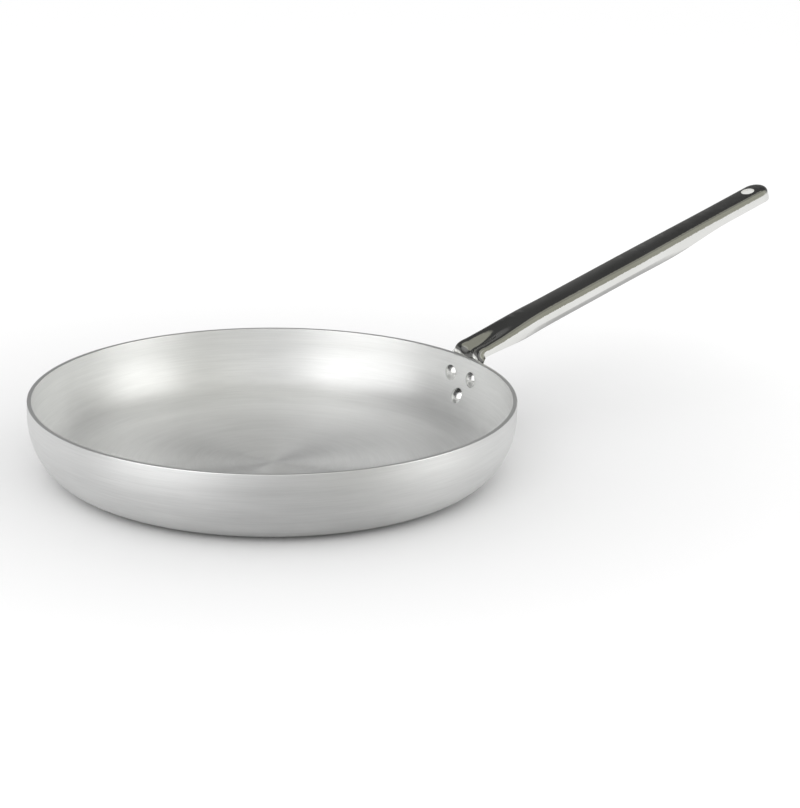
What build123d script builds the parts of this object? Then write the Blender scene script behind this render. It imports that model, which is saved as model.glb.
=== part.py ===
from build123d import *
from math import asin, atan, cos, degrees, pi, radians, sin
import os

# Omelette pan: a spun aluminium body, a pressed steel handle and three rivets.
# Origin at the middle of the flat base, +Z up, handle towards +X.
# Lengths are in millimetres and angles in degrees.

# Pan body
rim_diameter = 320.0
pan_height = 50.0
wall = 3.0
band_height = 9.5
corner_radius = 30.7
corner_turn = 56.0
rim_rounding = 0.5

# Rivets, whose places are drops below the rim on the inside of the wall
rivet_spacing = 22.0
upper_rivet_drop = 14.3
lower_rivet_drop = 27.8
shank_diameter = 5.0
inner_head_diameter = 11.0
inner_head_height = 2.2
outer_head_diameter = 10.0
outer_head_height = 2.6
head_edge = 0.5
fit_gap = 0.1

# Handle sheet and the line that it follows
sheet = 1.5
tang_margin = 8.5
tang_foot_margin = 7.5
tang_top_half = 17.6
band_overlap = 0.5
neck_radius = 7.0
handle_rise = 16.03
grip_length = 287.6
crown_lift = 2.8

# Half of the blank across the grip, folded from its middle to its edge
top_half = 7.8
top_turn = 5.0
shoulder_length = 6.2
shoulder_turn = 85.0
side_length = 3.3
crease_length = 1.6
crease_turn = 37.0
tuck_length = 5.4
curl_length = 3.6
curl_turn = 48.0

# The same folds in the neck and at the tip, as shares of those in the grip, and on the wall,
# as shares of the tang's half width
neck_run_shares = (1.40, 0.70, 0.50, 0.50, 0.15, 0.15)
neck_turn_shares = (-0.70, 1.05, 1.0, 0.10, 1.0, 0.0)
tip_run_shares = (0.82, 0.97, 0.88, 0.62, 0.15, 0.15)
tip_turn_shares = (0.6, 1.0, 1.0, 0.0, 1.0, 0.0)
wrapped_run_shares = (0.62, 0.21, 0.06, 0.04, 0.04, 0.03)

# Points along each fold, and the share of the outline that each fold counts for
fold_steps = (3, 4, 1, 2, 1, 2)
fold_mark_shares = (0.42, 0.24, 0.10, 0.06, 0.11, 0.07)

# Stretches over which the sheet changes shape, as shares of the grip's length
crown_lift_shares = (0.015, 0.215)
neck_end_shares = (0.0, 0.26)
tip_start_shares = (0.48, 0.835)

# Valley pressed into the neck: it deepens over shares of the sheet's length up to the end of
# the bend, and fades over shares of the grip's length
valley_depth = 4.0
valley_half = 9.0
valley_start_shares = (0.0, 0.67)
valley_end_shares = (0.0, 0.13)

# Numbers of stations, and how far those of the grip crowd towards the neck
root_steps = 3
bend_steps = 3
grip_steps = 18
crowding_share = 1.5

# Hanging hole
hole_diameter = 9.8
hole_setback = 16.5

# Allowance by which cutting bodies run past what they cut
overrun = 10.0


# Outline of the pan body: its second arc fills what the corner and the upright band leave
rim_radius = rim_diameter / 2
band_bottom = pan_height - band_height
quarter_turn = degrees(pi / 2)
flank_turn = quarter_turn - corner_turn
corner_rise = corner_radius * (1 - cos(radians(corner_turn)))
flank_radius = (band_bottom - corner_rise) / sin(radians(flank_turn))
flank_centre_x = rim_radius - flank_radius
base_radius = rim_radius - corner_radius * sin(radians(corner_turn))
base_radius -= flank_radius * (1 - cos(radians(flank_turn)))


def rivet_plane(drop, across):
    """Plane on the inside of the wall that faces outwards along the rivet."""
    inner_radius = flank_radius - wall
    lean = asin((drop - band_height) / inner_radius)
    reach = flank_centre_x + inner_radius * cos(lean)
    swing = asin(across / reach)
    origin = (reach * cos(swing), across, pan_height - drop)
    outward = (cos(lean) * cos(swing), cos(lean) * sin(swing), -sin(lean))
    return Plane(origin=origin, x_dir=(-sin(swing), cos(swing), 0), z_dir=outward)


rivet_planes = {
    "rivet_upper_left": rivet_plane(upper_rivet_drop, rivet_spacing / 2),
    "rivet_upper_right": rivet_plane(upper_rivet_drop, -rivet_spacing / 2),
    "rivet_lower": rivet_plane(lower_rivet_drop, 0),
}
bore_radius = shank_diameter / 2 + fit_gap


# Spun shell: one disc, flat in the middle and turned up in two arcs
with BuildPart() as shell:
    with BuildSketch(Plane.XZ):
        with BuildLine():
            base_line = Line((0, 0), (base_radius, 0))
            corner = JernArc(base_line @ 1, base_line % 1, corner_radius, corner_turn)
            flank = JernArc(corner @ 1, corner % 1, flank_radius, flank_turn)
            Line(flank @ 1, (rim_radius, pan_height))
            offset(amount=wall, side=Side.LEFT)
        make_face()
    revolve(axis=Axis.Z)
    rim_edges = shell.edges().filter_by(GeomType.CIRCLE).group_by(Axis.Z)[-1]
    fillet(rim_edges, rim_rounding)

# Pan body: the shell with its three rivet holes
with BuildPart() as pan_body:
    add(shell.part)
    for plane in rivet_planes.values():
        with BuildSketch(plane):
            Circle(bore_radius)
        extrude(amount=overrun, both=True, mode=Mode.SUBTRACT)
pan_body.part.label = "pan_body"


# Tang: a leaf of sheet wrapped round the outside of the wall, with a margin round each rivet
tang_top = band_bottom + band_overlap
tang_radius = rim_radius + fit_gap
rivet_exits = [plane.origin + plane.z_dir * wall for plane in rivet_planes.values()]
with BuildPart() as tang:
    with BuildSketch(Plane.XZ):
        with BuildLine():
            band = Line((tang_radius, tang_top), (tang_radius, band_bottom))
            leaf = JernArc(band @ 1, band % 1, flank_radius + fit_gap, -flank_turn)
            JernArc(leaf @ 1, leaf % 1, corner_radius + fit_gap, -corner_turn)
            offset(amount=sheet, side=Side.LEFT)
        make_face()
    revolve(axis=Axis.Z)
    with BuildSketch(Plane.YZ):
        for exit, margin in zip(rivet_exits, (tang_margin, tang_margin, tang_foot_margin)):
            with Locations((exit.Y, exit.Z)):
                Circle(margin)
        with Locations((0, tang_top)):
            Rectangle(tang_top_half * 2, band_overlap, align=(Align.CENTER, Align.MAX))
        make_hull()
    extrude(amount=rim_diameter, mode=Mode.INTERSECT)


def cap_radius(diameter, height):
    """Radius of the dome of a rivet head above its edge."""
    rise = height - head_edge
    return (rise**2 + (diameter / 2) ** 2) / (2 * rise)


def fold(runs, turns, valley):
    """Half of the sheet's outline as (across, down, heading), from its middle to its edge."""
    across, down, heading = 0, 0, 0
    outline = [(across, down, heading)]
    for run, turn, steps in zip(runs, turns, fold_steps):
        for _ in range(steps):
            heading += turn / steps / 2
            across += run / steps * cos(radians(heading))
            down += run / steps * sin(radians(heading))
            heading += turn / steps / 2
            outline.append((across, down, heading))
    pressed = []
    for across, down, heading in outline:
        share = min(across / valley_half, 1)
        dip = valley * (1 + cos(pi * share)) / 2
        slope = -valley * sin(pi * share) * pi / valley_half / 2
        pressed.append((across, down + dip, heading + degrees(atan(slope))))
    return pressed


def mirrored(half):
    """Whole outline, from one edge to the other."""
    return [(-across, down) for across, down in reversed(half[1:])] + half


def both_faces(half):
    """Outlines of the sheet's upper face and of its underside, one thickness behind it."""
    face = [(across, down) for across, down, _ in half]
    back = [
        (across - sheet * sin(radians(heading)), down + sheet * cos(radians(heading)))
        for across, down, heading in half
    ]
    return mirrored(face), mirrored(back)


def blend(first, second, share):
    """Values part of the way from one list to another."""
    return [a + (b - a) * share for a, b in zip(first, second)]


grip_runs = (top_half, shoulder_length, side_length, crease_length, tuck_length, curl_length)
grip_turns = (top_turn, shoulder_turn, 0, crease_turn, 0, curl_turn)
neck_runs = [run * share for run, share in zip(grip_runs, neck_run_shares)]
neck_turns = [turn * share for turn, share in zip(grip_turns, neck_turn_shares)]
tip_runs = [run * share for run, share in zip(grip_runs, tip_run_shares)]
tip_turns = [turn * share for turn, share in zip(grip_turns, tip_turn_shares)]

wrapped_half = tang_radius * asin(tang_top_half / tang_radius)
wrapped_runs = [wrapped_half * share for share in wrapped_run_shares]
wrapped_turns = [-degrees(run / tang_radius) for run in wrapped_runs]


def sheet_plane(x, z, rise):
    """Plane across the sheet where it climbs at the given angle."""
    climb = (cos(radians(rise)), 0, sin(radians(rise)))
    return Plane(origin=(x, 0, z), x_dir=(0, -1, 0), z_dir=climb)


def eased(place, stretch_shares):
    """Share that grows from 0 to 1 over a stretch and is level at both ends."""
    start, end = stretch_shares
    share = min(max((place - start) / (end - start), 0), 1)
    return (1 - cos(pi * share)) / 2


neck_turn = quarter_turn - handle_rise
bend_length = neck_radius * radians(neck_turn)
root_length = pan_height - tang_top + bend_length
neck_centre_x = tang_radius + neck_radius
neck_end = sheet_plane(
    neck_centre_x - neck_radius * cos(radians(neck_turn)),
    pan_height + neck_radius * sin(radians(neck_turn)),
    handle_rise,
)


def line_plane(length):
    """Plane across the sheet at a length past the end of the bend, or before it if negative."""
    if length >= 0:
        lift = crown_lift * eased(length / grip_length, crown_lift_shares)
        plane = neck_end.offset(length)
        return plane.shift_origin(plane.origin - plane.y_dir * lift)
    if length >= -bend_length:
        turn = (length + bend_length) / neck_radius
        x = neck_centre_x - neck_radius * cos(turn)
        return sheet_plane(x, pan_height + neck_radius * sin(turn), quarter_turn - degrees(turn))
    return sheet_plane(tang_radius, pan_height + length + bend_length, quarter_turn)


def folds_at(length):
    """Half of the sheet's outline at a length past the end of the bend."""
    root_place = 1 + length / root_length
    grip_place = length / grip_length
    opening = eased(root_place, (0, 1))
    widening = eased(grip_place, neck_end_shares)
    narrowing = eased(grip_place, tip_start_shares)
    runs = blend(blend(wrapped_runs, neck_runs, opening), grip_runs, widening)
    turns = blend(blend(wrapped_turns, neck_turns, opening), grip_turns, widening)
    depth = valley_depth * eased(root_place, valley_start_shares)
    depth *= 1 - eased(grip_place, valley_end_shares)
    return fold(blend(runs, tip_runs, narrowing), blend(turns, tip_turns, narrowing), depth)


tip_half = fold(tip_runs, tip_turns, 0)
tip_radius = tip_half[-1][0]
straight_length = grip_length - tip_radius
upright_length = root_length - bend_length
lengths = [upright_length * step / root_steps - root_length for step in range(1, root_steps + 1)]
lengths += [bend_length * step / bend_steps - bend_length for step in range(1, bend_steps + 1)]
lengths += [straight_length * (step / grip_steps) ** crowding_share for step in range(1, grip_steps + 1)]
tip_plane = line_plane(straight_length)
hole_centre = tip_plane.origin + tip_plane.z_dir * (tip_radius - hole_setback)
hole_plane = Plane(origin=hole_centre, x_dir=tip_plane.z_dir, z_dir=-tip_plane.y_dir)

half_marks = [0]
for mark, steps in zip(fold_mark_shares, fold_steps):
    for _ in range(steps):
        half_marks.append(half_marks[-1] + mark / steps)
marks = [-mark for mark in reversed(half_marks[1:])] + half_marks

# Handle: one pressed sheet, from the tang over the rim into the grip and round the tip
sections = [tang.faces().sort_by(Axis.Z)[-1]]
for length in lengths:
    face, back = both_faces(folds_at(length))
    with BuildSketch(line_plane(length)) as section:
        with BuildLine():
            add(Edge.make_spline(face, parameters=marks))
            Line(face[-1], back[-1])
            add(Edge.make_spline(back, parameters=marks))
            Line(back[0], face[0])
        make_face()
    sections.append(section.sketch.face())
with BuildSketch(tip_plane) as tip_section:
    add(section.sketch_local)
    split(bisect_by=Plane.YZ)
with BuildPart() as handle:
    add(tang.part)
    loft(sections)
    add(tip_section.sketch)
    revolve(axis=Axis(tip_plane.origin, -tip_plane.y_dir), revolution_arc=180)
    with BuildSketch(hole_plane):
        Circle(hole_diameter / 2)
    extrude(amount=overrun, both=True, mode=Mode.SUBTRACT)
    for plane in rivet_planes.values():
        with BuildSketch(plane):
            Circle(bore_radius)
        extrude(amount=overrun, both=True, mode=Mode.SUBTRACT)
handle.part.label = "handle"


# Rivets: a shank through wall and tang, and a domed head bedded on each
rivets = []
shank_radius = shank_diameter / 2
outer_seat = wall + fit_gap + sheet
bedding = sheet / 2
for name, plane in rivet_planes.items():
    side = Plane(origin=plane.origin, x_dir=plane.x_dir, z_dir=plane.x_dir.cross(plane.z_dir))
    with BuildPart() as rivet:
        with BuildSketch(side):
            with BuildLine():
                crown = (0, -inner_head_height)
                edge = (inner_head_diameter / 2, -head_edge)
                RadiusArc(crown, edge, -cap_radius(inner_head_diameter, inner_head_height))
                Polyline(edge, (edge[0], bedding), (0, bedding), crown)
            make_face()
            with BuildLine():
                crown = (0, outer_seat + outer_head_height)
                edge = (outer_head_diameter / 2, outer_seat + head_edge)
                RadiusArc(crown, edge, cap_radius(outer_head_diameter, outer_head_height))
                Polyline(edge, (edge[0], outer_seat - bedding), (0, outer_seat - bedding), crown)
            make_face()
        revolve(axis=Axis(plane.origin, plane.z_dir))
        add(shell.part, mode=Mode.SUBTRACT)
        add(tang.part, mode=Mode.SUBTRACT)
        with BuildSketch(plane.offset(-head_edge)):
            Circle(shank_radius)
        extrude(amount=outer_seat + 2 * head_edge)
    rivet.part.label = name
    rivets.append(rivet)

os.makedirs("parts", exist_ok=True)
for piece in (pan_body, handle, *rivets):
    export_step(piece.part, f"parts/{piece.part.label}.step")
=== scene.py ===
from math import cos, pi, radians, sin, tan

import bmesh
import bpy
from bpy.props import FloatProperty, FloatVectorProperty, IntProperty, PointerProperty
from bpy.types import Operator, Panel, PropertyGroup
from mathutils import Matrix, Vector


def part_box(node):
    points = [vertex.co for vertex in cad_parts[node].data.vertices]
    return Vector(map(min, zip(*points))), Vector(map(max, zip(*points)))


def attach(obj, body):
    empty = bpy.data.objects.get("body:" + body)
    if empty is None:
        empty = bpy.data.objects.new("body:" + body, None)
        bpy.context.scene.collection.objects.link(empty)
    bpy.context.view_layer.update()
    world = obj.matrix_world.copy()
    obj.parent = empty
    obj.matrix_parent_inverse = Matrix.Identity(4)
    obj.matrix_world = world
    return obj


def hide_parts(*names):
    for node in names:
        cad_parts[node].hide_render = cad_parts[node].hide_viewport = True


bl_info = {
    "name": "Omelette Pan",
    "version": (1, 0),
    "blender": (4, 5, 0),
    "location": "3D View > Sidebar > Omelette Pan",
    "description": "Builds a riveted aluminium omelette pan and the studio around it",
    "category": "Add Mesh",
}

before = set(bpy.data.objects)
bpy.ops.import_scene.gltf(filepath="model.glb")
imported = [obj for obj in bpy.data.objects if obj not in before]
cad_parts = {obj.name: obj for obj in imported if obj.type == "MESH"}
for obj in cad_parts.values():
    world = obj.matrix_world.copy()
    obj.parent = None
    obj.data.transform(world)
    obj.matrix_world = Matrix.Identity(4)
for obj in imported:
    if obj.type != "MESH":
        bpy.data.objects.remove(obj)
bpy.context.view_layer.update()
pan_low, pan_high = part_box("pan_body")
SHELL = "spun_shell"
RIVETS = ("rivet_upper_left", "rivet_upper_right", "rivet_lower")


class PanBodySizes(PropertyGroup):
    """Sizes of the spun shell"""

    rim_radius: FloatProperty(
        name="Rim radius",
        description="Radius of the shell at its upright band",
        default=pan_high.x,
        subtype="DISTANCE",
        unit="LENGTH",
    )
    height: FloatProperty(
        name="Height",
        description="Height from the base to the rim",
        default=pan_high.z - pan_low.z,
        subtype="DISTANCE",
        unit="LENGTH",
    )
    wall: FloatProperty(
        name="Wall",
        description="Thickness of the spun sheet",
        default=0.003,
        subtype="DISTANCE",
        unit="LENGTH",
    )
    band_height: FloatProperty(
        name="Band height",
        description="Height of the upright band below the rim",
        default=0.0095,
        subtype="DISTANCE",
        unit="LENGTH",
    )
    corner_radius: FloatProperty(
        name="Corner radius",
        description="Radius of the outside where the base turns up",
        default=0.0307,
        subtype="DISTANCE",
        unit="LENGTH",
    )
    corner_turn: FloatProperty(
        name="Corner turn",
        description="Angle through which the corner turns up",
        default=radians(56),
        subtype="ANGLE",
        unit="ROTATION",
    )
    rim_rounding: FloatProperty(
        name="Rim rounding",
        description="Radius of both edges of the rim",
        default=0.0005,
        subtype="DISTANCE",
        unit="LENGTH",
    )
    segments: IntProperty(
        name="Segments",
        description="Number of segments round the shell",
        default=288,
        min=24,
    )


class FinishSettings(PropertyGroup):
    """Colours and gloss of the metals"""

    spun_dark: FloatVectorProperty(
        name="Spun aluminium, dark",
        description="Colour in the grooves that spinning leaves",
        default=(0.846, 0.85, 0.842),
        subtype="COLOR",
        min=0,
        max=1,
    )
    spun_light: FloatVectorProperty(
        name="Spun aluminium, light",
        description="Colour on the ridges that spinning leaves",
        default=(0.938, 0.942, 0.934),
        subtype="COLOR",
        min=0,
        max=1,
    )
    steel_dark: FloatVectorProperty(
        name="Polished steel, dark",
        description="Colour of the cloudier patches of the handle",
        default=(0.91, 0.91, 0.88),
        subtype="COLOR",
        min=0,
        max=1,
    )
    steel_light: FloatVectorProperty(
        name="Polished steel, light",
        description="Colour of the brightest patches of the handle",
        default=(0.96, 0.96, 0.94),
        subtype="COLOR",
        min=0,
        max=1,
    )
    rivet_dark: FloatVectorProperty(
        name="Rivet, dark",
        description="Colour of the dull patches of the rivet heads",
        default=(0.58, 0.58, 0.57),
        subtype="COLOR",
        min=0,
        max=1,
    )
    rivet_light: FloatVectorProperty(
        name="Rivet, light",
        description="Colour of the bright patches of the rivet heads",
        default=(0.78, 0.78, 0.77),
        subtype="COLOR",
        min=0,
        max=1,
    )


class StudioSettings(PropertyGroup):
    """Camera and floor"""

    lens: FloatProperty(
        name="Lens",
        description="Focal length on a sensor 36 mm along the long side",
        default=107.68,
        subtype="DISTANCE_CAMERA",
        unit="CAMERA",
    )
    camera_place: FloatVectorProperty(
        name="Camera place",
        description="Where the camera stands",
        default=(-0.84156, -1.25846, 0.52504),
        subtype="XYZ",
        unit="LENGTH",
    )
    camera_azimuth: FloatProperty(
        name="Camera azimuth",
        description="Direction from which the camera looks, about the upright axis",
        default=radians(-36.921),
        subtype="ANGLE",
        unit="ROTATION",
    )
    camera_elevation: FloatProperty(
        name="Camera elevation",
        description="Angle by which the camera looks down",
        default=radians(17.632),
        subtype="ANGLE",
        unit="ROTATION",
    )
    camera_roll: FloatProperty(
        name="Camera roll",
        description="Turn of the camera about its line of sight",
        default=radians(0.940),
        subtype="ANGLE",
        unit="ROTATION",
    )
    floor_colour: FloatVectorProperty(
        name="Floor colour",
        description="Colour of the floor and of the light that it throws back",
        default=(0.83, 0.83, 0.83),
        subtype="COLOR",
        min=0,
        max=1,
    )
    floor_seen_colour: FloatVectorProperty(
        name="Floor colour, seen",
        description="Colour of the floor to the camera, near the pan",
        default=(0.90, 0.90, 0.90),
        subtype="COLOR",
        min=0,
        max=1.5,
    )


def settings():
    """The sizes, finishes and studio values of this scene."""
    return bpy.context.scene.omelette_pan


def link(scene_object):
    """Put an object into the scene."""
    bpy.context.scene.collection.objects.link(scene_object)
    return scene_object


def spin_profile(name, outline, segments):
    """Mesh of a closed outline of (radius, height) points turned about the upright axis."""
    mesh = bpy.data.meshes.new(name)
    grid = bmesh.new()
    turns = [2 * pi * step / segments for step in range(segments)]
    on_axis = 1e-7
    rings = []
    for radius, height in outline:
        if radius < on_axis:
            rings.append([grid.verts.new((0, 0, height))])
        else:
            places = [(radius * cos(turn), radius * sin(turn), height) for turn in turns]
            rings.append([grid.verts.new(place) for place in places])
    for lower, upper in zip(rings, rings[1:]):
        for step in range(segments):
            after = (step + 1) % segments
            below = [lower[place % len(lower)] for place in (step, after)]
            above = [upper[place % len(upper)] for place in (after, step)]
            corners = list(dict.fromkeys(below + above))
            if len(corners) > 2:
                face = grid.faces.new(corners)
                face.smooth = True
    bmesh.ops.recalc_face_normals(grid, faces=grid.faces)
    grid.to_mesh(mesh)
    grid.free()
    return link(bpy.data.objects.new(name, mesh))


def arc_points(centre, radius, start, end, steps):
    """Points from one angle to another, without the first."""
    return [
        (
            centre[0] + radius * cos(start + (end - start) * step / steps),
            centre[1] + radius * sin(start + (end - start) * step / steps),
        )
        for step in range(1, steps + 1)
    ]


def shell_outline(sizes):
    """Outline of the shell's section from the middle of its base, outside first."""
    band_bottom = sizes.height - sizes.band_height
    flank_turn = pi / 2 - sizes.corner_turn
    corner_rise = sizes.corner_radius * (1 - cos(sizes.corner_turn))
    flank_radius = (band_bottom - corner_rise) / sin(flank_turn)
    flank_centre = (sizes.rim_radius - flank_radius, band_bottom)
    base_radius = sizes.rim_radius - sizes.corner_radius * sin(sizes.corner_turn)
    base_radius -= flank_radius * (1 - cos(flank_turn))
    corner_centre = (base_radius, sizes.corner_radius)
    corner_end = sizes.corner_turn - pi / 2
    rounding = sizes.rim_rounding
    rim = sizes.rim_radius
    inner_rim = rim - sizes.wall
    base_steps, corner_steps, flank_steps, rounding_steps = 12, 22, 16, 4
    outline = [(base_radius * step / base_steps, 0) for step in range(base_steps + 1)]
    outline += arc_points(corner_centre, sizes.corner_radius, -pi / 2, corner_end, corner_steps)
    outline += arc_points(flank_centre, flank_radius, -flank_turn, 0, flank_steps)
    edge_height = sizes.height - rounding
    outline.append((rim, edge_height))
    outline += arc_points((rim - rounding, edge_height), rounding, 0, pi / 2, rounding_steps)
    outline.append((inner_rim + rounding, sizes.height))
    outline += arc_points((inner_rim + rounding, edge_height), rounding, pi / 2, pi, rounding_steps)
    outline.append((inner_rim, band_bottom))
    outline += arc_points(flank_centre, flank_radius - sizes.wall, 0, -flank_turn, flank_steps)
    inner_corner_radius = sizes.corner_radius - sizes.wall
    outline += arc_points(corner_centre, inner_corner_radius, corner_end, -pi / 2, corner_steps)
    outline += [(base_radius * (1 - step / base_steps), sizes.wall) for step in range(1, base_steps + 1)]
    return outline


class NodeBench:
    """Adds nodes to one material or world and links them."""

    def __init__(self, owner):
        self.owner = owner
        owner.use_nodes = True
        self.tree = owner.node_tree
        self.tree.nodes.clear()

    def add(self, kind, values=None, **choices):
        """Node of a kind, with values for its sockets and choices for its settings."""
        node = self.tree.nodes.new(kind)
        for key, choice in choices.items():
            setattr(node, key, choice)
        for socket, value in (values or {}).items():
            node.inputs[socket].default_value = value
        return node

    def link(self, source, target):
        self.tree.links.new(source, target)

    def feed(self, target, value):
        """Set a socket to a number, or link it to the socket that gives it."""
        if isinstance(value, (int, float)):
            target.default_value = value
        else:
            self.link(value, target)

    def maths(self, operation, first, second):
        node = self.add("ShaderNodeMath", operation=operation)
        self.feed(node.inputs[0], first)
        self.feed(node.inputs[1], second)
        return node.outputs[0]

    def span(self, value, low, high, to_low, to_high, way="LINEAR"):
        """Value carried from one range over to another, and held at its ends."""
        node = self.add("ShaderNodeMapRange", interpolation_type=way)
        sockets = ("From Min", "From Max", "To Min", "To Max")
        for socket, number in zip(sockets, (low, high, to_low, to_high)):
            node.inputs[socket].default_value = number
        self.link(value, node.inputs["Value"])
        return node.outputs["Result"]

    def ramp(self, factor, painted_dark_distance, dark, light_place, light):
        """Colour that runs from a dark to a light one between two places of a factor."""
        node = self.add("ShaderNodeValToRGB")
        stops = ((painted_dark_distance, dark), (light_place, light))
        for element, (place, colour) in zip(node.color_ramp.elements, stops):
            element.position = place
            element.color = (*colour, 1)
        self.link(factor, node.inputs[0])
        return node.outputs[0]

    def surface(self, output_kind, source):
        """Link the last node to the output, and give the finished material or world."""
        self.link(source, self.add(output_kind).inputs["Surface"])
        return self.owner


def spun_aluminium(name, finish, smoothest, roughest, anisotropy):
    """Bare aluminium with the fine rings that spinning and sanding on a lathe leave."""
    bench = NodeBench(bpy.data.materials.new(name))
    place = bench.add("ShaderNodeTexCoord").outputs["Object"]
    parts = bench.add("ShaderNodeSeparateXYZ")
    bench.link(place, parts.inputs[0])
    flat = bench.add("ShaderNodeCombineXYZ")
    bench.link(parts.outputs["X"], flat.inputs["X"])
    bench.link(parts.outputs["Y"], flat.inputs["Y"])
    from_axis = bench.add("ShaderNodeVectorMath", operation="LENGTH")
    bench.link(flat.outputs[0], from_axis.inputs[0])
    direction = bench.add("ShaderNodeVectorMath", operation="NORMALIZE")
    bench.link(flat.outputs[0], direction.inputs[0])
    # height counts too, so that the upright band has rings as the base does
    height_share = 0.8
    raised = bench.maths("MULTIPLY", parts.outputs["Z"], height_share)
    along = bench.maths("SUBTRACT", from_axis.outputs["Value"], raised)
    turned = bench.add("ShaderNodeSeparateXYZ")
    bench.link(direction.outputs[0], turned.inputs[0])

    def rings(along_scale, round_scale, detail):
        """Noise drawn out round the axis."""
        where = bench.add("ShaderNodeCombineXYZ")
        bench.link(bench.maths("MULTIPLY", turned.outputs["X"], round_scale), where.inputs["X"])
        bench.link(bench.maths("MULTIPLY", turned.outputs["Y"], round_scale), where.inputs["Y"])
        bench.link(bench.maths("MULTIPLY", along, along_scale), where.inputs["Z"])
        noise = bench.add("ShaderNodeTexNoise", {"Scale": 1.0, "Detail": detail, "Roughness": 0.6})
        bench.link(where.outputs[0], noise.inputs["Vector"])
        return noise.outputs["Fac"]

    fine = rings(along_scale=2600.0, round_scale=5.0, detail=3.0)
    broad = rings(along_scale=240.0, round_scale=1.6, detail=2.0)
    clouds = bench.add("ShaderNodeTexNoise", {"Scale": 16.0, "Detail": 3.0, "Roughness": 0.55})
    bench.link(place, clouds.inputs["Vector"])
    fine_share, broad_share, cloud_share = 0.45, 0.35, 0.20
    fine_part = bench.maths("MULTIPLY", fine, fine_share)
    mixed = bench.maths("ADD", fine_part, bench.maths("MULTIPLY", broad, broad_share))
    mixed = bench.maths("ADD", mixed, bench.maths("MULTIPLY", clouds.outputs["Fac"], cloud_share))
    colour = bench.ramp(mixed, 0.36, finish.spun_dark, 0.62, finish.spun_light)
    bump = bench.add("ShaderNodeBump", {"Strength": 0.25, "Distance": 0.00004})
    bench.link(fine, bump.inputs["Height"])
    tangent = bench.add("ShaderNodeTangent", direction_type="RADIAL", axis="Z")
    gloss = {"Metallic": 0.78, "Anisotropic": anisotropy, "Anisotropic Rotation": 0.25}
    shader = bench.add("ShaderNodeBsdfPrincipled", gloss)
    bench.link(colour, shader.inputs["Base Color"])
    noise_low, noise_high = 0.3, 0.7
    bench.link(bench.span(broad, noise_low, noise_high, smoothest, roughest), shader.inputs["Roughness"])
    bench.link(bump.outputs[0], shader.inputs["Normal"])
    bench.link(tangent.outputs[0], shader.inputs["Tangent"])
    return bench.surface("ShaderNodeOutputMaterial", shader.outputs[0])


def bright_metal(name, dark, light, smoothest, roughest, patch_scale, line_scale, line_depth, painted_shade_share):
    """Polished metal with faint patches and polishing lines, and a painted shade that darkens its colour
    where it faces down.
    """
    bench = NodeBench(bpy.data.materials.new(name))
    place = bench.add("ShaderNodeTexCoord").outputs["Object"]
    patches = bench.add("ShaderNodeTexNoise", {"Scale": patch_scale, "Detail": 4.0, "Roughness": 0.6})
    bench.link(place, patches.inputs["Vector"])
    lines = bench.add("ShaderNodeTexNoise", {"Scale": 1.0, "Detail": 3.0, "Roughness": 0.6})
    mapping = bench.add("ShaderNodeMapping", {"Scale": line_scale})
    bench.link(place, mapping.inputs["Vector"])
    bench.link(mapping.outputs[0], lines.inputs["Vector"])
    colour = bench.ramp(patches.outputs["Fac"], 0.35, dark, 0.65, light)
    bump = bench.add("ShaderNodeBump", {"Strength": 0.2, "Distance": line_depth})
    bench.link(lines.outputs["Fac"], bump.inputs["Height"])
    normal = bench.add("ShaderNodeSeparateXYZ")
    bench.link(bench.add("ShaderNodeNewGeometry").outputs["Normal"], normal.inputs[0])
    # upward part of the normal at which the painted shade is at its darkest, and at which it ends
    shade_full_at, shade_none_at = -0.62, -0.30
    painted_shade_colour = bench.add("ShaderNodeVectorMath", operation="SCALE")
    bench.link(colour, painted_shade_colour.inputs[0])
    bench.link(bench.span(normal.outputs["Z"], shade_full_at, shade_none_at, painted_shade_share, 1.0), painted_shade_colour.inputs["Scale"])
    shader = bench.add("ShaderNodeBsdfPrincipled", {"Metallic": 1.0})
    bench.link(painted_shade_colour.outputs[0], shader.inputs["Base Color"])
    noise_low, noise_high = 0.3, 0.7
    roughness = bench.span(patches.outputs["Fac"], noise_low, noise_high, smoothest, roughest)
    bench.link(roughness, shader.inputs["Roughness"])
    bench.link(bump.outputs[0], shader.inputs["Normal"])
    return bench.surface("ShaderNodeOutputMaterial", shader.outputs[0])


def dress(node_name, material):
    """Give a node of the model this material."""
    for node_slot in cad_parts[node_name].material_slots:
        node_slot.material = material


class OMELETTE_OT_pan_body(Operator):
    """Build the spun aluminium shell"""

    bl_idname = "omelette.pan_body"
    bl_label = "Pan body"

    def execute(self, context):
        sizes, finish = settings().body, settings().finish
        body = spin_profile(SHELL, shell_outline(sizes), sizes.segments)
        for name, smoothest, roughest, anisotropy in (
            ("spun_aluminium_finish", 0.438, 0.498, 0.747),
            ("rim_edge_finish", 0.285, 0.324, 0.3),
        ):
            body.data.materials.append(spun_aluminium(name, finish, smoothest, roughest, anisotropy))
        rim_slot, hair = 1, 0.00001
        rim_bottom = sizes.height - sizes.rim_rounding - hair
        for face in body.data.polygons:
            if min(body.data.vertices[corner].co.z for corner in face.vertices) > rim_bottom:
                face.material_index = rim_slot
        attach(body, "root")
        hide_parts("pan_body")
        return {"FINISHED"}


class OMELETTE_OT_handle(Operator):
    """Finish the pressed steel handle"""

    bl_idname = "omelette.handle"
    bl_label = "Handle"

    def execute(self, context):
        finish = settings().finish
        material = bright_metal(
            "polished_steel_finish",
            finish.steel_dark,
            finish.steel_light,
            smoothest=0.07,
            roughest=0.12,
            patch_scale=22.0,
            line_scale=(60, 900, 900),
            line_depth=0.00001,
            # share of the colour that the painted shade leaves where the handle faces down
            painted_shade_share=0.42,
        )
        dress("handle", material)
        return {"FINISHED"}


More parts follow.
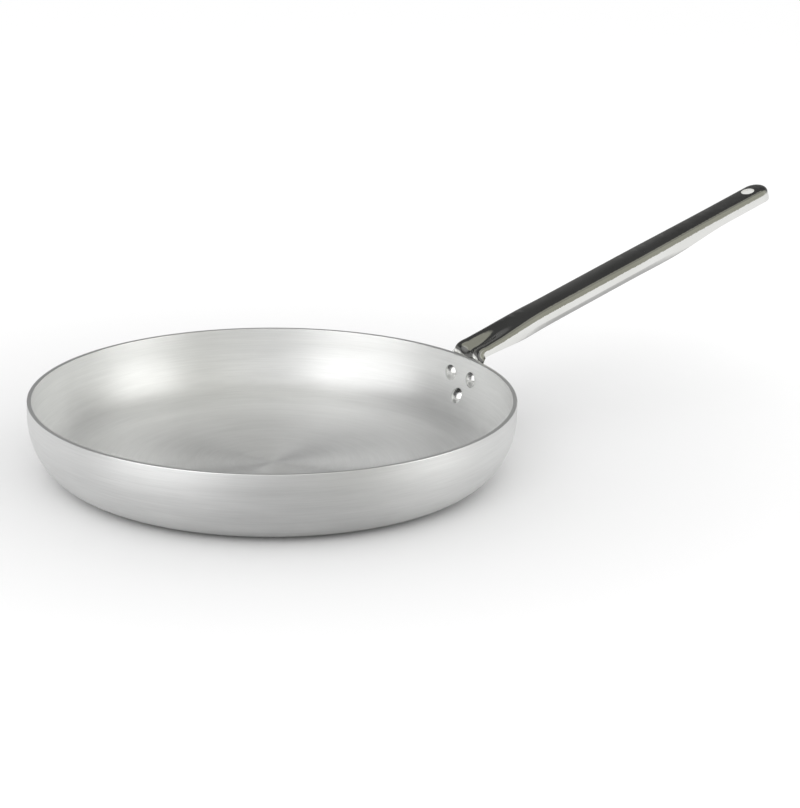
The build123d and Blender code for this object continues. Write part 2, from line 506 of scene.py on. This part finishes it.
class OMELETTE_OT_rivets(Operator):
    """Finish the three rivets"""

    bl_idname = "omelette.rivets"
    bl_label = "Rivets"

    def execute(self, context):
        finish = settings().finish
        material = bright_metal(
            "rivet_steel_finish",
            finish.rivet_dark,
            finish.rivet_light,
            smoothest=0.16,
            roughest=0.28,
            patch_scale=300.0,
            line_scale=(500, 500, 500),
            line_depth=0.00004,
            # 1.0 leaves the rivet heads without painted shade
            painted_shade_share=1.0,
        )
        for name in RIVETS:
            dress(name, material)
        return {"FINISHED"}


def facing(azimuth, elevation):
    """Direction that points outwards at an azimuth, where 0 faces the -Y side, and an elevation."""
    return Vector((sin(azimuth) * cos(elevation), -cos(azimuth) * cos(elevation), sin(elevation)))


class SkyBench(NodeBench):
    """Adds the nodes of a studio's surroundings as seen in polished metal."""

    def __init__(self, name):
        super().__init__(bpy.data.worlds.new(name))
        self.place = self.add("ShaderNodeTexCoord").outputs["Generated"]

    def towards(self, direction):
        """Cosine of the angle between the place seen and a direction."""
        dot = self.add("ShaderNodeVectorMath", operation="DOT_PRODUCT")
        self.link(self.place, dot.inputs[0])
        dot.inputs[1].default_value = direction
        return dot.outputs["Value"]

    def grown(self, value, start, end, low, high):
        """Soft step of a value from low to high."""
        return self.span(value, start, end, low, high, "SMOOTHERSTEP")

    def patch(self, azimuth, elevation, inner, outer, strength):
        """Round soft patch that shines out to an inner angle and ends at an outer one."""
        near = self.towards(facing(azimuth, elevation))
        return self.grown(near, cos(outer), cos(inner), 0.0, strength)

    def light(self, colour, strength):
        node = self.add("ShaderNodeBackground", {"Color": (*colour, 1)})
        self.feed(node.inputs["Strength"], strength)
        return node.outputs[0]

    def mixed(self, factor, first, second):
        node = self.add("ShaderNodeMixShader")
        for socket, source in zip(node.inputs, (factor, first, second)):
            self.link(source, socket)
        return node.outputs[0]


def studio_world(azimuth):
    """White to the eye. Metal sees a pale far wall and a left wall that both darken upwards, and
    soft patches behind the camera, at its right and overhead."""
    sky = SkyBench("studio_world")
    height = sky.towards((0, 0, 1))
    # cosines between which each wall comes up, and its strength before and after
    far_wall = sky.grown(sky.towards(facing(azimuth + pi, 0)), -0.45, 0.25, 0.002, 0.469)
    left_wall = sky.grown(sky.towards(facing(azimuth - pi / 2, 0)), 0.45, 0.95, 0.0, 0.698)
    walls = sky.maths("MAXIMUM", far_wall, left_wall)
    # sines of the elevations between which the walls darken, and the share that is left
    for start, end, share in ((0.02, 0.22, 0.21), (0.42, 0.62, 0.4)):
        walls = sky.maths("MULTIPLY", walls, sky.grown(height, start, end, 1.0, share))
    # each patch's azimuth and elevation, its inner and outer angle, and its strength
    behind = sky.patch(azimuth, radians(41), radians(10), radians(52), 0.18)
    side = sky.patch(azimuth + radians(66), radians(26), radians(20), radians(60), 0.28)
    overhead = sky.patch(azimuth, radians(90), radians(16), radians(32), 0.2)
    neutral, warm = (1.0, 1.0, 1.0), (1.0, 1.0, 0.84)
    mirrored = sky.add("ShaderNodeAddShader")
    sky.link(sky.light(neutral, sky.maths("MAXIMUM", walls, behind)), mirrored.inputs[0])
    sky.link(sky.light(warm, sky.maths("MAXIMUM", side, overhead)), mirrored.inputs[1])
    fill_strength, seen_strength = 0.903, 1.0
    rays = sky.add("ShaderNodeLightPath").outputs
    indirect = sky.mixed(rays["Is Glossy Ray"], sky.light(neutral, fill_strength), mirrored.outputs[0])
    whole = sky.mixed(rays["Is Camera Ray"], indirect, sky.light(neutral, seen_strength))
    return sky.surface("ShaderNodeOutputWorld", whole)


def floor_material(colour, seen_colour, front):
    """Pale floor with a painted shadow round the pan that fades to white for the camera, and a painted
    dark patch in front of the pan that only metal sees, standing in for a dark room.
    """
    bench = NodeBench(bpy.data.materials.new("studio_floor"))
    rays = bench.add("ShaderNodeLightPath")
    tint = bench.add("ShaderNodeMix", data_type="RGBA")
    first, second = [socket for socket in tint.inputs if socket.type == "RGBA"]
    first.default_value = (*colour, 1)
    second.default_value = (*seen_colour, 1)
    bench.link(rays.outputs["Is Camera Ray"], tint.inputs["Factor"])
    tinted = [socket for socket in tint.outputs if socket.type == "RGBA"][0]
    place = bench.add("ShaderNodeNewGeometry").outputs["Position"]
    # distances between which the painted dark patch that only metal sees gives way to the floor, and the
    # share of the floor's colour that the patch takes away
    painted_dark_within, painted_dark_ends, painted_dark_most = 0.26, 0.68, 0.96
    distance = bench.add("ShaderNodeVectorMath", operation="DISTANCE")
    bench.link(place, distance.inputs[0])
    distance.inputs[1].default_value = front
    painted_dark_loss = bench.span(distance.outputs["Value"], painted_dark_within, painted_dark_ends, painted_dark_most, 0.0)
    share = bench.maths("SUBTRACT", 1.0, bench.maths("MULTIPLY", painted_dark_loss, rays.outputs["Is Glossy Ray"]))
    # distances between which the painted shadow round the pan fades and the floor turns white to the
    # camera, and the share gained
    painted_shadow_within, painted_shadow_ends, painted_shadow_most_lift = 0.19, 0.5, 0.21
    outwards = bench.add("ShaderNodeVectorMath", operation="LENGTH")
    bench.link(place, outwards.inputs[0])
    painted_shadow_lift = bench.span(outwards.outputs["Value"], painted_shadow_within, painted_shadow_ends, 0.0, painted_shadow_most_lift)
    share = bench.maths("ADD", share, bench.maths("MULTIPLY", painted_shadow_lift, rays.outputs["Is Camera Ray"]))
    shaded = bench.add("ShaderNodeVectorMath", operation="SCALE")
    bench.link(tinted, shaded.inputs[0])
    bench.link(share, shaded.inputs["Scale"])
    diffuse = bench.add("ShaderNodeBsdfDiffuse")
    bench.link(shaded.outputs[0], diffuse.inputs["Color"])
    return bench.surface("ShaderNodeOutputMaterial", diffuse.outputs[0])


def lay_floor(studio):
    """Floor a hair under the base, so that the two faces don't meet."""
    reach, drop = 4.0, 0.0002
    corners = [(-reach, -reach), (reach, -reach), (reach, reach), (-reach, reach)]
    mesh = bpy.data.meshes.new("studio_floor")
    mesh.from_pydata([(x, y, -drop) for x, y in corners], [], [(0, 1, 2, 3)])
    floor = link(bpy.data.objects.new("studio_floor", mesh))
    # distance from the pan to the middle of the painted dark patch that only metal sees
    painted_dark_distance = 0.575
    front = facing(studio.camera_azimuth, 0) * painted_dark_distance
    mesh.materials.append(floor_material(studio.floor_colour, studio.floor_seen_colour, front))


def area_light(name, azimuth, elevation, distance):
    """Area light that faces the pan."""
    lamp = link(bpy.data.objects.new(name, bpy.data.lights.new(name, "AREA")))
    outward = facing(azimuth, elevation)
    lamp.location = outward * distance
    lamp.rotation_mode = "QUATERNION"
    lamp.rotation_quaternion = outward.to_track_quat("Z", "Y")
    return lamp


def soft_light(name, azimuth, elevation, distance, power):
    """Softbox that lights matt surfaces and that no metal mirrors."""
    lamp = area_light(name, azimuth, elevation, distance)
    lamp.data.shape = "RECTANGLE"
    lamp.data.size, lamp.data.size_y = 1.2, 1.0
    lamp.data.energy = power
    lamp.visible_glossy = False


def panel_light(name, azimuth, elevation, distance, spread, radiance, receivers):
    """Round panel that only the receivers mirror, as if flags kept it off the rest."""
    lamp = area_light(name, azimuth, elevation, distance)
    lamp.data.shape = "DISK"
    lamp.data.size = 2 * distance * tan(spread)
    lamp.data.energy = radiance * pi * pi * (lamp.data.size / 2) ** 2
    lamp.visible_diffuse = False
    lamp.light_linking.receiver_collection = receivers


def hang_lights(azimuth):
    """Two softboxes, and three panels for the shell and the rivets alone."""
    distance = 1.8
    # degrees from the camera's azimuth and above the floor, and watts
    for name, turn, rise, power in (("left_softbox", -12.25, 38.8, 5.5), ("right_softbox", 48, 38.8, 1)):
        soft_light(name, azimuth + radians(turn), radians(rise), distance, power)

    receivers = bpy.data.collections.new("panel_receivers")
    receivers.objects.link(bpy.data.objects[SHELL])
    for name in RIVETS:
        receivers.objects.link(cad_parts[name])
    # degrees from the camera's azimuth and above the floor, degrees from middle to edge, radiance
    for name, turn, rise, spread, radiance in (
        ("left_panel", -47, 26, 29, 1.68),
        ("right_panel", 78, 27, 21, 1.7),
        ("back_panel", 0, 41, 33, 0.5),
    ):
        edge = radians(spread)
        panel_light(name, azimuth + radians(turn), radians(rise), distance, edge, radiance, receivers)


def photo_camera(studio):
    """Camera at the photo's place, angle and roll."""
    camera = bpy.data.cameras.new("photo_camera")
    camera.lens = studio.lens
    camera.sensor_width = 36.0
    camera.clip_start = 0.05
    viewer = link(bpy.data.objects.new("photo_camera", camera))
    viewer.location = studio.camera_place
    viewer.rotation_mode = "QUATERNION"
    back = facing(studio.camera_azimuth, studio.camera_elevation)
    roll = Matrix.Rotation(studio.camera_roll, 4, "Z").to_quaternion()
    viewer.rotation_quaternion = back.to_track_quat("Z", "Y") @ roll
    return viewer


class OMELETTE_OT_studio(Operator):
    """Set up the floor, the lights and the camera"""

    bl_idname = "omelette.studio"
    bl_label = "Studio"

    def execute(self, context):
        studio = settings().studio
        scene = context.scene
        scene.view_settings.view_transform = "Standard"
        scene.world = studio_world(studio.camera_azimuth)
        lay_floor(studio)
        hang_lights(studio.camera_azimuth)
        scene.camera = photo_camera(studio)
        return {"FINISHED"}


class OMELETTE_PT_panel(Panel):
    """Lists the pan's parts, sizes and finishes"""

    bl_label = "Omelette Pan"
    bl_idname = "OMELETTE_PT_panel"
    bl_space_type = "VIEW_3D"
    bl_region_type = "UI"
    bl_category = "Omelette Pan"

    def draw(self, context):
        for operator in OPERATORS:
            self.layout.operator(operator.bl_idname)
        for group in (settings().body, settings().finish, settings().studio):
            box = self.layout.box()
            for name in group.__annotations__:
                box.prop(group, name)


class PanSettings(PropertyGroup):
    """Everything that a user would change"""

    body: PointerProperty(type=PanBodySizes)
    finish: PointerProperty(type=FinishSettings)
    studio: PointerProperty(type=StudioSettings)


OPERATORS = (OMELETTE_OT_pan_body, OMELETTE_OT_handle, OMELETTE_OT_rivets, OMELETTE_OT_studio)
CLASSES = (PanBodySizes, FinishSettings, StudioSettings, PanSettings, *OPERATORS, OMELETTE_PT_panel)


def register():
    for cls in CLASSES:
        bpy.utils.register_class(cls)
    bpy.types.Scene.omelette_pan = PointerProperty(type=PanSettings)


def unregister():
    del bpy.types.Scene.omelette_pan
    for cls in reversed(CLASSES):
        bpy.utils.unregister_class(cls)


def main():
    register()
    bpy.ops.omelette.pan_body()
    bpy.ops.omelette.handle()
    bpy.ops.omelette.rivets()
    bpy.ops.omelette.studio()


if __name__ == "__main__":
    main()
